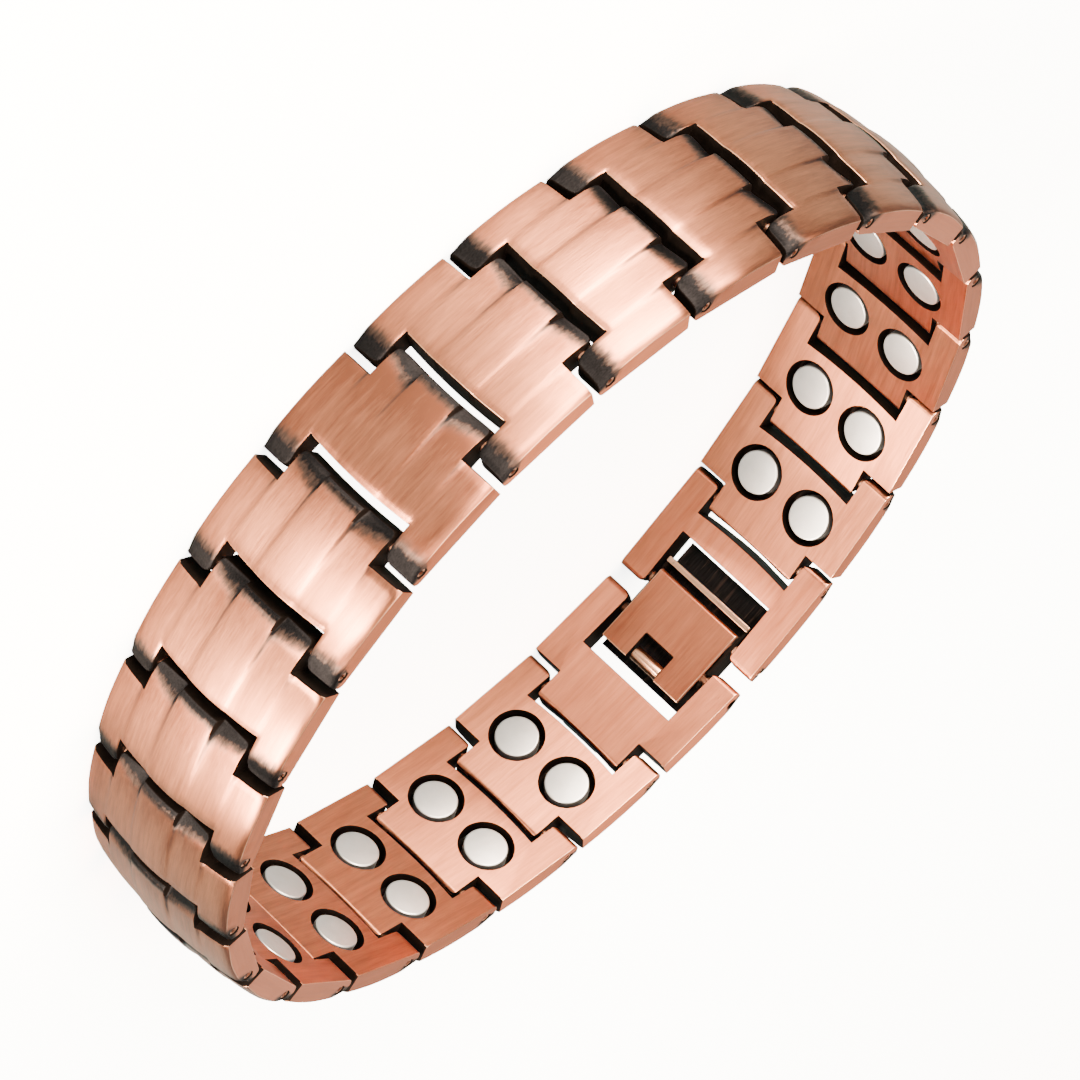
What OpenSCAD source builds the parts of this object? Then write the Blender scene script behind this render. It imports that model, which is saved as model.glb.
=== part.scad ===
// Magnetic link bracelet, lying on its side as a closed oval ring.
// The ring's axis is Z, the lower side faces stand on Z = 0 and the clasp is at +Y.
// Each link is drawn in its own frame: X runs forward from its rear pin to its front pin,
// Y points out of the ring and Z runs across the bracelet's width, with 0 in the middle.

/* [Chain] */
// Number of links that carry magnets
link_count = 23; // [19:1:26]
// Distance between the two pins of a magnet link
link_pitch = 8.4; // [8:0.05:9]
// Width of the bracelet, and so its height as it lies on its side
link_width = 13.5; // [12.5:0.1:15]
// Share by which the oval ring's long axis exceeds its mean
oval_spread = 0.024; // [0:0.002:0.04]
// Direction of the oval's long axis, in degrees from X
oval_turn = -27; // [-90:1:90]

/* [Link shape] */
// From the pins' line to the flat inner face
inner_depth = 0.9; // [0.85:0.01:1.1]
// From the pins' line to the top of the middle band
crown_height = 1.95; // [1.8:0.05:2.3]
// Radius of the arch along each link's outer face
arch_radius = 30; // [20:1:60]
// Width of the middle band
middle_band = 3.3; // [2.5:0.1:4]
// Width of the tongue
tongue_width = 8.5; // [8:0.1:9]
// Play between a tongue and the notch round it, on each side
notch_play = 0.2; // [0.1:0.05:0.3]
// How far the ears reach behind their pin
ear_reach = 0.95; // [0.85:0.05:1.05]
// How far the tongue reaches past its pin
tongue_reach = 1.1; // [0.9:0.01:1.1]
// From the rear pin to the notch's floor
notch_floor = 1.7; // [1.6:0.05:1.9]
// From a shoulder beside the tongue to the front pin
shoulder_back = 1.53; // [1.4:0.01:1.8]

/* [Pins] */
// Diameter of the pins
pin_diameter = 0.76; // [0.7:0.02:0.8]
// Play between a pin and its bore, on the radius
pin_play = 0.03; // [0.02:0.01:0.04]
// Width of the slit along a rolled pin
pin_slit = 0.14; // [0.1:0.02:0.2]
// How far the catch pin's ends lie below the side faces
catch_pin_recess = 0.8; // [0.3:0.1:1.2]

/* [Magnets] */
// Diameter of a magnet
magnet_diameter = 3.3; // [3:0.1:3.8]
// Diameter of the well that holds a magnet
well_diameter = 4.2; // [3.9:0.05:4.2]
// Depth of the wells
well_depth = 1.3; // [1:0.05:1.4]
// How far a magnet's face lies below the link's inner face
magnet_recess = 0.2; // [0.1:0.05:0.3]
// Distance between the two magnets of a link
magnet_spacing = 5.25; // [5:0.05:5.4]
// From the rear pin to the magnets
magnet_forward = 4.55; // [4.3:0.05:4.8]

/* [Clasp] */
// From the rear pin of the window end link to the hinge pin
window_pitch = 7.6; // [7.4:0.05:7.8]
// From the hinge pin to the catch pin
bridge_pitch = 3.1; // [3:0.05:3.3]
// From the rear pin of the window end link to its window
window_start = 3.5; // [3.3:0.05:3.7]
// From the catch pin to the notch's floor in the plain end link
deep_notch_floor = 4.1; // [3.9:0.05:4.3]
// How far the bridge plate reaches behind the hinge pin
bridge_rear = 3.75; // [3.5:0.05:3.85]
// How far the bridge plate reaches ahead of the hinge pin
bridge_front = 6.3; // [5.8:0.05:6.35]
// From the hinge pin to the free end of the fold-over cover
cover_reach = 5.7; // [5.3:0.05:5.8]
// From the hinge pin back to the cover's squared knuckle
cover_back = 0.85; // [0.8:0.01:0.9]
// Width of the fold-over cover
cover_width = 7.8; // [7.4:0.1:7.8]
// From the hinge pin's middle to the cover's bare face, which stands a little proud of the links
cover_face = 1.2; // [0.95:0.05:1.25]
// Thickness of the fold-over cover
cover_thickness = 0.37; // [0.3:0.01:0.4]
// Width of the bridge's catch, which stands in the cover's notch
catch_width = 2.6; // [2:0.1:3]

/* [Hidden] */
$fn = 96;
overcut = 1;
magnet_glue = 0.03;
pin_radius = pin_diameter / 2;
bore_radius = pin_radius + pin_play;
roll_inner_radius = pin_radius - 0.17;
pin_end_recess = 0.08;
notch_width = tongue_width + 2 * notch_play;
half_width = link_width / 2;

// Copper and magnet colours
COPPER = [0.78, 0.49, 0.38];
BRIGHT_COPPER = [0.86, 0.58, 0.46];
DARK_COPPER = [0.35, 0.22, 0.18];
SILVER = [0.78, 0.77, 0.76];

// Half of the outer face's section across the width: [distance from the middle, height]
crease = 0.12;
half_section = [
    [0, crown_height],
    [middle_band / 2, crown_height - 0.1],
    [middle_band / 2 + crease, crown_height - 0.29],
    [tongue_width / 2 + 0.03, crown_height - 0.45],
    [tongue_width / 2 + 0.03 + crease, crown_height - 0.65],
    [half_width - 0.25, crown_height - 0.95],
    [half_width, crown_height - 1.13]
];

// The ring of pins: an oval whose size is solved so that the chain closes on itself
chords = concat([bridge_pitch], [for (i = [0:link_count]) link_pitch], [window_pitch]);
pin_count = len(chords);
function oval_radius(mean, a) = mean * (1 + oval_spread * cos(2 * (a - oval_turn)));
function oval_point(mean, a) = oval_radius(mean, a) * [cos(a), sin(a)];
function next_angle(mean, a, chord, turn, tries) =
    tries == 0 ? a - turn :
    next_angle(mean, a, chord,
        turn * chord / norm(oval_point(mean, a - turn) - oval_point(mean, a)), tries - 1);
function step_angle(mean, a, chord) = next_angle(mean, a, chord, chord / mean * 180 / PI, 5);
function end_angle(mean, a, i) =
    i == pin_count ? a : end_angle(mean, step_angle(mean, a, chords[i]), i + 1);
clasp_half_angle = 2.64;
start_angle = 90 + clasp_half_angle;
function solve_mean(low, high, tries) =
    tries == 0 ? (low + high) / 2 :
    let (mid = (low + high) / 2)
    end_angle(mid, start_angle, 0) < start_angle - 360 ?
        solve_mean(mid, high, tries - 1) : solve_mean(low, mid, tries - 1);
mean_radius = solve_mean(20, 60, 40);
function pin_angles(a, i) =
    i == pin_count ? [] : concat([a], pin_angles(step_angle(mean_radius, a, chords[i]), i + 1));
angles = pin_angles(start_angle, 0);
raw_pins = [for (a = angles) oval_point(mean_radius, a)];
xs = [for (p = raw_pins) p[0]];
ys = [for (p = raw_pins) p[1]];
ring_centre = [(max(xs) + min(xs)) / 2, (max(ys) + min(ys)) / 2];
pins = [for (p = raw_pins) p - ring_centre];

// Chain places: 0 is the bridge, 1 the plain end link, then the magnet links, then the window end link
BRIDGE = 0;
PLAIN_END = 1;
FIRST_LINK = 2;
WINDOW_END = pin_count - 1;
HINGE_PIN = 0;
CATCH_PIN = 1;

module at_place(i) {
    here = pins[i];
    run = pins[(i + 1) % pin_count] - here;
    translate([here[0], here[1], half_width])
        rotate([0, 0, atan2(run[1], run[0])]) children();
}

// Removes the corner at [x, y] of an outline, leaving a round of the given radius
module rounded_corner(x, y, radius, side_x, side_y) {
    translate([x - side_x * radius, y - side_y * radius])
        mirror([side_x < 0 ? 1 : 0, 0]) mirror([0, side_y < 0 ? 1 : 0])
            difference() {
                square(radius + overcut);
                circle(radius);
            }
}

// Removes the outer corner of an end: a slope that meets the end face at the given height
module sloped_corner(x, height, slope_run, slope_rise, side_x) {
    polygon([
        [x + side_x * overcut, height - slope_rise / slope_run * overcut],
        [x - side_x * 2 * slope_run, height + 2 * slope_rise],
        [x - side_x * 2 * slope_run, crown_height + overcut],
        [x + side_x * overcut, crown_height + overcut]
    ]);
}

module across(width) {
    linear_extrude(width, center = true) children();
}

module cross_bore(x, radius) {
    translate([x, 0, 0]) cylinder(r = radius, h = link_width + 2 * overcut, center = true);
}

// The arched outer face with its five bands, turned about an axis across the width
module arched_block(middle, lowest) {
    base = arch_radius - crown_height;
    upper = [for (p = half_section) [base + p[1], p[0]]];
    lower = [for (i = [len(half_section) - 1:-1:1]) [base + half_section[i][1], -half_section[i][0]]];
    translate([middle, -base, 0])
        rotate_extrude($fn = 360)
            polygon(concat([[base + lowest, -half_width]], lower, upper, [[base + lowest, half_width]]));
}

// Plan outline of a link, seen from outside: X forward, Y across the width
module link_plan(pitch, floor_x, shoulder_x) {
    half_notch = notch_width / 2;
    half_tongue = tongue_width / 2;
    tip = pitch + tongue_reach;
    polygon([
        [-ear_reach, half_notch], [-ear_reach, half_width], [shoulder_x, half_width],
        [shoulder_x, half_tongue], [tip, half_tongue], [tip, -half_tongue],
        [shoulder_x, -half_tongue], [shoulder_x, -half_width], [-ear_reach, -half_width],
        [-ear_reach, -half_notch], [floor_x, -half_notch], [floor_x, half_notch]
    ]);
}

module raised(from_y, to_y) {
    translate([0, to_y, 0]) rotate([90, 0, 0]) linear_extrude(to_y - from_y) children();
}

module ear_end_cuts() {
    across(link_width + 2 * overcut) {
        rounded_corner(-ear_reach, -inner_depth, 0.5, -1, -1);
        sloped_corner(-ear_reach, 0.45, 1.2, 0.55, -1);
    }
}

module tongue_end_cuts(tip) {
    across(link_width + 2 * overcut) {
        rounded_corner(tip, -inner_depth, 0.5, 1, -1);
        sloped_corner(tip, 1.08, 0.9, 0.4, 1);
    }
}

// A link with ears, a notch and a tongue, with both pin bores
module eared_link(pitch, floor_x) {
    difference() {
        intersection() {
            arched_block((pitch + tongue_reach - ear_reach) / 2, -inner_depth - overcut);
            raised(-inner_depth, crown_height + overcut)
                link_plan(pitch, floor_x, pitch - shoulder_back);
        }
        ear_end_cuts();
        tongue_end_cuts(pitch + tongue_reach);
        cross_bore(0, bore_radius);
        cross_bore(pitch, bore_radius);
    }
}

module magnet_sites() {
    for (side = [-1, 1])
        translate([magnet_forward, -inner_depth, side * magnet_spacing / 2])
            rotate([-90, 0, 0]) children();
}

module magnet_link(i) {
    color(COPPER) at_place(i)
        difference() {
            eared_link(link_pitch, notch_floor);
            magnet_sites() translate([0, 0, -overcut])
                cylinder(d = well_diameter, h = well_depth + overcut);
        }
}

module plain_end_link() {
    color(COPPER) at_place(PLAIN_END) eared_link(link_pitch, deep_notch_floor);
}

// The window end link: ears and a crossbar, then two legs that carry the hinge pin
module window_end_link() {
    leg_end = window_pitch + 0.85;
    half_notch = notch_width / 2;
    color(COPPER) at_place(WINDOW_END)
        difference() {
            intersection() {
                arched_block((leg_end - ear_reach) / 2, -inner_depth - overcut);
                raised(-inner_depth, crown_height + overcut)
                    difference() {
                        translate([-ear_reach, -half_width]) square([leg_end + ear_reach, link_width]);
                        translate([-ear_reach - overcut, -half_notch])
                            square([ear_reach + overcut + notch_floor, notch_width]);
                        translate([window_start, -half_notch])
                            square([leg_end - window_start + overcut, notch_width]);
                    }
            }
            ear_end_cuts();
            across(link_width + 2 * overcut) {
                rounded_corner(leg_end, -inner_depth, 0.5, 1, -1);
                sloped_corner(leg_end, 0.45, 1.2, 0.55, 1);
            }
            cross_bore(0, bore_radius);
            cross_bore(window_pitch, bore_radius);
        }
}

// The bridge: an outer plate with bands, two side walls on the pins, a rear lip and a catch
bridge_wall = 0.22;
plate_underside = 1.04;
wall_bottom = -0.6;
lip_back = 2.1;
lip_thickness = 0.42;
lip_bottom = -0.9;
catch_x = 5.05;
catch_y = -0.45;
catch_radius = 0.58;

module bridge_walls() {
    wall_front = bridge_pitch + 0.8;
    for (side = [-1, 1])
        translate([0, 0, side * (tongue_width - bridge_wall) / 2])
            difference() {
                across(bridge_wall)
                    difference() {
                        translate([-lip_back, wall_bottom])
                            square([wall_front + lip_back, plate_underside + 0.12 - wall_bottom]);
                        rounded_corner(wall_front, wall_bottom, 0.4, 1, -1);
                    }
                cross_bore(0, bore_radius);
                cross_bore(bridge_pitch, bore_radius);
                translate([bridge_pitch - bore_radius, wall_bottom - overcut, -overcut])
                    cube([2 * bore_radius, overcut - wall_bottom, 2 * overcut]);
            }
}

module clasp_bridge() {
    plate_middle = (bridge_front - bridge_rear) / 2;
    color(COPPER) at_place(BRIDGE) {
        difference() {
            intersection() {
                arched_block(plate_middle, plate_underside);
                translate([-bridge_rear, -overcut, -tongue_width / 2])
                    cube([bridge_front + bridge_rear, crown_height + 2 * overcut, tongue_width]);
            }
            across(link_width) {
                sloped_corner(bridge_front, 1.45, 0.9, 0.4, 1);
                sloped_corner(-bridge_rear, 1.45, 0.9, 0.4, -1);
            }
        }
        bridge_walls();
        translate([-lip_back, lip_bottom, -tongue_width / 2])
            cube([lip_thickness, plate_underside + 0.05 - lip_bottom, tongue_width]);
        across(catch_width) {
            translate([catch_x, catch_y]) circle(catch_radius);
            translate([catch_x - 0.02, catch_y]) square([0.5, plate_underside - catch_y + 0.05]);
        }
    }
}

// The fold-over cover: a flat plate that turns on the hinge pin, notched round the catch
module clasp_cover() {
    catch_play = 0.15;
    notch_back = catch_x - 1.7;
    color(COPPER) at_place(BRIDGE)
        difference() {
            across(cover_width) {
                circle(inner_depth);
                difference() {
                    translate([-cover_back, -cover_face]) square([cover_back, cover_face]);
                    rounded_corner(-cover_back, -cover_face, 0.3, -1, -1);
                }
                translate([0, -cover_face]) square([cover_reach, cover_thickness]);
            }
            cross_bore(0, bore_radius);
            translate([notch_back, -cover_face - overcut, -catch_width / 2 - catch_play])
                cube([cover_reach, cover_thickness + 2 * overcut, catch_width + 2 * catch_play]);
        }
}

// A rolled pin: a tube with a slit along it
module rolled_pin() {
    length = link_width - 2 * pin_end_recess;
    linear_extrude(length, center = true)
        difference() {
            circle(pin_radius);
            circle(roll_inner_radius);
            translate([0, -pin_slit / 2]) square([pin_diameter, pin_slit]);
        }
}

module link_pins() {
    color(BRIGHT_COPPER)
        for (i = [CATCH_PIN + 1:pin_count - 1]) at_place(i) rolled_pin();
}

module hinge_pin() {
    color(BRIGHT_COPPER) at_place(HINGE_PIN) rolled_pin();
}

module catch_pin() {
    color(DARK_COPPER) at_place(CATCH_PIN)
        cylinder(r = pin_radius, h = link_width - 2 * catch_pin_recess, center = true);
}

module magnets() {
    color(SILVER)
        for (i = [FIRST_LINK:WINDOW_END - 1]) at_place(i)
            magnet_sites() translate([0, 0, magnet_recess])
                cylinder(d = magnet_diameter, h = well_depth - magnet_recess - magnet_glue);
}

link_names = [for (i = [1:link_count]) str("link_", i < 10 ? "0" : "", i)];

for (i = [1:link_count])
    magnet_link(FIRST_LINK + i - 1);
plain_end_link();
window_end_link();
clasp_bridge();
clasp_cover();
link_pins();
hinge_pin();
catch_pin();
magnets();
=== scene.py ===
import math
import bpy, bmesh
from mathutils import Matrix, Vector


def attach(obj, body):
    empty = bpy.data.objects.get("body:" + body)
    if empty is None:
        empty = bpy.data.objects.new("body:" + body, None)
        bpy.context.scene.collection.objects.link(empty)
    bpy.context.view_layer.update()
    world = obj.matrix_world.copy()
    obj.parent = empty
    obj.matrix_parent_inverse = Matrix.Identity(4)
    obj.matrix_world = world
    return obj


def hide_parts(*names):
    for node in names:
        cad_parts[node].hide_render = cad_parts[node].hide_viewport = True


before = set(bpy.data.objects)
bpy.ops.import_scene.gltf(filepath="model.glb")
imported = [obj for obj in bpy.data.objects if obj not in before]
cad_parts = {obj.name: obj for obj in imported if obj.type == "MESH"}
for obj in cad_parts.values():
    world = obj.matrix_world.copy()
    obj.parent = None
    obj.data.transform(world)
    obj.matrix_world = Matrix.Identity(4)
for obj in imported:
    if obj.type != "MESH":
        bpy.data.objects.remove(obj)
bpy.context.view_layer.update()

# ---- Camera ----
# A long lens looks down on the bracelet from in front and is rolled on its side,
# so that the ring runs up the picture from lower left to upper right.
camera_data = bpy.data.cameras.new("product_camera")
camera_data.sensor_width = 36
camera_data.lens = 180.525
camera_data.clip_start = 0.01
camera_data.clip_end = 6
camera = bpy.data.objects.new("product_camera", camera_data)
picture_right = Vector((-0.65777604, 0.2969546, 0.69220564))
picture_down = Vector((0.7500954, 0.17471887, 0.63783243))
looks_along = Vector((0.06846589, 0.93877116, -0.33767016))
camera_place = Matrix((picture_right, -picture_down, -looks_along)).transposed().to_4x4()
camera_place.translation = Vector((-0.02536904, -0.34474503, 0.12985308))
camera.matrix_world = camera_place
bpy.context.scene.collection.objects.link(camera)
bpy.context.scene.camera = camera

# ---- Table top and studio lamps ----
# A wide sheet of white paper that the bracelet lies on, plain and matt. Soft lamps stand in front,
# above and behind, and three low ones in front show as reflections in the upright faces.
table_bm = bmesh.new()
bmesh.ops.create_grid(table_bm, x_segments=1, y_segments=1, size=1.6)
table_mesh = bpy.data.meshes.new("table_paper")
table_bm.to_mesh(table_mesh)
table_bm.free()
table = bpy.data.objects.new("table_paper", table_mesh)
bpy.context.scene.collection.objects.link(table)
paper = bpy.data.materials.new("white_paper")
paper.use_nodes = True
paper_nodes, paper_links = paper.node_tree.nodes, paper.node_tree.links
paper_shader = paper_nodes["Principled BSDF"]
paper_shader.inputs["Base Color"].default_value = (0.235, 0.32, 0.36, 1)
paper_shader.inputs["Roughness"].default_value = 0.85
paper_shader.inputs["Specular IOR Level"].default_value = 0.1
lit_paper = paper_nodes.new("ShaderNodeBsdfDiffuse")
lit_paper.inputs["Color"].default_value = (2.6, 2.8, 3.0, 1)
paper_glow = paper_nodes.new("ShaderNodeEmission")
paper_glow.inputs["Strength"].default_value = 5.0
paper_seen = paper_nodes.new("ShaderNodeAddShader")
paper_rays = paper_nodes.new("ShaderNodeLightPath")
paper_mix = paper_nodes.new("ShaderNodeMixShader")
paper_links.new(lit_paper.outputs[0], paper_seen.inputs[0])
paper_links.new(paper_glow.outputs[0], paper_seen.inputs[1])
paper_links.new(paper_rays.outputs["Is Camera Ray"], paper_mix.inputs[0])
paper_links.new(paper_shader.outputs[0], paper_mix.inputs[1])
paper_links.new(paper_seen.outputs[0], paper_mix.inputs[2])
paper_links.new(paper_mix.outputs[0], paper_nodes["Material Output"].inputs["Surface"])
table_mesh.materials.append(paper)

room = bpy.data.worlds.new("pale_room")
room.use_nodes = True
room.node_tree.nodes["Background"].inputs["Color"].default_value = (0.90, 1, 1.02, 1)
room.node_tree.nodes["Background"].inputs["Strength"].default_value = 0.28
bpy.context.scene.world = room

bracelet_middle = Vector((0, 0, 0.007))


def soft_lamp(name, stands_at, width, height, watts):
    lamp_data = bpy.data.lights.new(name, "AREA")
    lamp_data.shape = "RECTANGLE"
    lamp_data.size = width
    lamp_data.size_y = height
    lamp_data.energy = watts
    lamp_data.color = (1, 0.80, 0.60)
    lamp = bpy.data.objects.new(name, lamp_data)
    bpy.context.scene.collection.objects.link(lamp)
    lamp.location = stands_at
    aim = bracelet_middle - Vector(stands_at)
    lamp.rotation_euler = aim.to_track_quat("-Z", "Y").to_euler()


soft_lamp("front_lamp", (-0.33, -0.70, 0.42), 0.35, 0.35, 13)
soft_lamp("top_lamp", (-0.15, -0.15, 0.9), 0.7, 0.7, 16)
soft_lamp("back_lamp", (0.05, 0.85, 0.33), 0.7, 0.25, 1.0)
soft_lamp("low_right_lamp", (0.71, -0.33, 0.13), 0.30, 0.14, 25)
soft_lamp("low_front_lamp", (0.38, -0.70, 0.13), 0.16, 0.14, 16)
soft_lamp("low_left_lamp", (-0.64, -0.48, 0.13), 0.46, 0.14, 29)

# ---- Magnet links ----
# Cast copper links with a notch between two ears behind and a tongue in front. Five shallow bands
# run along the outer face, and two wells on the wrist side hold the magnets. Each tongue lies in the
# next link's notch on a cross pin. The copper is brushed lengthways and blackened at the joints.
mm = 0.001
link_pitch = 8.4
link_width = 13.5
half_width = link_width / 2
window_pitch = 7.6
bridge_pitch = 3.1
link_count = 23
oval_spread = 0.024
oval_turn = math.radians(-27)
inner_depth = 0.9
arch_radius = 30.0
ear_back = -0.95
ear_slope = 1.5
tongue_tip = 9.50
shoulder = 6.87
link_middle = (tongue_tip + ear_back) / 2
flat_back, flat_front = -0.45, 8.93
notch_floor = 1.70
half_notch = 4.45
deep_notch_floor = 4.1
plan_bow = 0.22
bow_back, bow_front = 2.6, 8.9
half_tongue = 4.17
bore_radius = 0.41
magnet_forward = 4.55
magnet_apart = 5.25
middle_crease, side_crease = 1.74, 4.36
end_radius = 0.5
rim_width = 0.11
sharp_angle = math.radians(34)


def ring_of_pins():
    """The pins of the closed chain, clockwise from the hinge pin, in mm."""
    chords = [bridge_pitch] + [link_pitch] * (link_count + 1) + [window_pitch]
    start = math.radians(90 + 2.64)

    def on_oval(mean, angle):
        radius = mean * (1 + oval_spread * math.cos(2 * (angle - oval_turn)))
        return Vector((radius * math.cos(angle), radius * math.sin(angle)))

    def walk(mean):
        angle, pins = start, []
        for chord in chords:
            pins.append(on_oval(mean, angle))
            turn = chord / mean
            for _ in range(5):
                turn *= chord / (on_oval(mean, angle - turn) - on_oval(mean, angle)).length
            angle -= turn
        return pins, angle

    low, high = 20.0, 60.0
    for _ in range(40):
        mean = (low + high) / 2
        if walk(mean)[1] < start - 2 * math.pi:
            low = mean
        else:
            high = mean
    pins = walk((low + high) / 2)[0]
    centre = Vector((
        (max(p.x for p in pins) + min(p.x for p in pins)) / 2,
        (max(p.y for p in pins) + min(p.y for p in pins)) / 2,
    ))
    return [p - centre for p in pins]


pins = ring_of_pins()


def chain_place(number):
    """From a link's own frame in mm (forward, outward, across) to its place in the chain in metres."""
    here = pins[number]
    run = pins[(number + 1) % len(pins)] - here
    return (
        Matrix.Translation((here.x * mm, here.y * mm, half_width * mm))
        @ Matrix.Rotation(math.atan2(run.y, run.x), 4, "Z")
        @ Matrix.Scale(mm, 4)
    )


def smooth_step(low, high, value):
    t = min(1.0, max(0.0, (value - low) / (high - low)))
    return t * t * (3 - 2 * t)


def arch_drop(s, middle):
    return (s - middle) ** 2 / (2 * arch_radius)


def band_height(across, crease=1.0):
    """Outer face over the pins' line, across the width: middle band, side band and ear band."""
    z = abs(across)
    rows = [
        (0.0, 1.95), (0.6, 1.94), (1.2, 1.90), (1.55, 1.86), (1.9, 1.82), (2.3, 1.80), (2.8, 1.78), (3.3, 1.74),
        (3.85, 1.69), (4.2, 1.64), (4.5, 1.60), (5.05, 1.53), (5.6, 1.44), (6.1, 1.34), (6.5, 1.23), (6.75, 1.03),
    ]
    step = 0.12 * crease * smooth_step(1.52, 1.88, z) + 0.11 * crease * smooth_step(4.2, 4.55, z)
    for (z0, h0), (z1, h1) in zip(rows, rows[1:]):
        if z <= z1:
            return h0 + (h1 - h0) * (z - z0) / (z1 - z0) - step
    return rows[-1][1] - step


def link_height(s, across):
    """A link's outer face: creases that deepen forward, an arch, a dipped tongue and sloped ears."""
    crease = 0.3 + 0.7 * smooth_step(2.5, 8.0, s)
    roll = 0.10 * (1 - smooth_step(notch_floor, notch_floor + 0.45, s)) if abs(across) < half_notch else 0.0
    return (
        band_height(across, crease) - arch_drop(s, link_middle) - tongue_dip(s, across, tongue_tip)
        - ear_dip(s, across, ear_back, ear_slope) - roll
    )


def tongue_dip(s, across, tip):
    """The side bands sink towards the tongue's end and the middle band has a short bevel."""
    z = abs(across)
    if z < 1.66:
        return 0.20 * smooth_step(tip - 0.6, tip + 0.15, s)
    if z > half_tongue + 0.01:
        return 0.0
    near_crease = 1 - (z - 1.78) / (half_tongue - 1.78)
    return 0.62 * smooth_step(tip - 1.65, tip + 0.1, s) * (0.4 + 0.6 * near_crease)


def ear_dip(s, across, back, end):
    """An ear's end slopes down from the ear band."""
    if abs(across) < half_notch - 0.01:
        return 0.0
    return 0.38 * (1 - smooth_step(back, back + end, s))


def flat_grid(s_lines, z_lines, is_open):
    """A sheet in the plan of a link, cut along the given lines, without its open cells."""
    bm = bmesh.new()
    bmesh.ops.create_grid(bm, x_segments=1, y_segments=1, size=0.5)
    bmesh.ops.rotate(bm, verts=bm.verts, cent=(0, 0, 0), matrix=Matrix.Rotation(-math.pi / 2, 3, "X"))
    bmesh.ops.scale(bm, verts=bm.verts, vec=(s_lines[-1] - s_lines[0], 1, z_lines[-1] - z_lines[0]))
    bmesh.ops.translate(
        bm, verts=bm.verts, vec=((s_lines[-1] + s_lines[0]) / 2, 0, (z_lines[-1] + z_lines[0]) / 2)
    )
    for s in s_lines[1:-1]:
        bmesh.ops.bisect_plane(
            bm, geom=bm.verts[:] + bm.edges[:] + bm.faces[:], plane_co=(s, 0, 0), plane_no=(1, 0, 0)
        )
    for z in z_lines[1:-1]:
        bmesh.ops.bisect_plane(
            bm, geom=bm.verts[:] + bm.edges[:] + bm.faces[:], plane_co=(0, 0, z), plane_no=(0, 0, 1)
        )
    empty = [f for f in bm.faces if is_open(f.calc_center_median().x, abs(f.calc_center_median().z))]
    bmesh.ops.delete(bm, geom=empty, context="FACES")
    return bm


def round_corner(verts, corner, inward, radius, axes):
    """Draws the verts of a square corner in to a quarter round, in the plane of the two axes."""
    a, b = axes
    for v in verts:
        x = radius - (v.co[a] - corner[0]) * inward[0]
        y = radius - (v.co[b] - corner[1]) * inward[1]
        if 0 < x <= radius + 1e-6 and 0 < y <= radius + 1e-6:
            shrink = max(x, y) / math.hypot(x, y)
            v.co[a] = corner[0] + (radius - x * shrink) * inward[0]
            v.co[b] = corner[1] + (radius - y * shrink) * inward[1]


FACE, RIM, JOINT, SIDE = 0, 1, 2, 3


def sharp_edges(bm, least=1.0):
    """The edges at which the surface turns by more than an angle."""
    return [e for e in bm.edges if e.calc_face_angle() > least]


def ease(bm, edges, width, segments=2):
    """Rounds edges off by a width, and gives the new faces."""
    return bmesh.ops.bevel(
        bm, geom=edges, offset=width, offset_type="OFFSET", segments=segments, profile=0.5,
        affect="EDGES", clamp_overlap=True, material=-1,
    )["faces"]


def is_upright(face):
    return abs(face.normal.y) < 0.45


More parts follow.
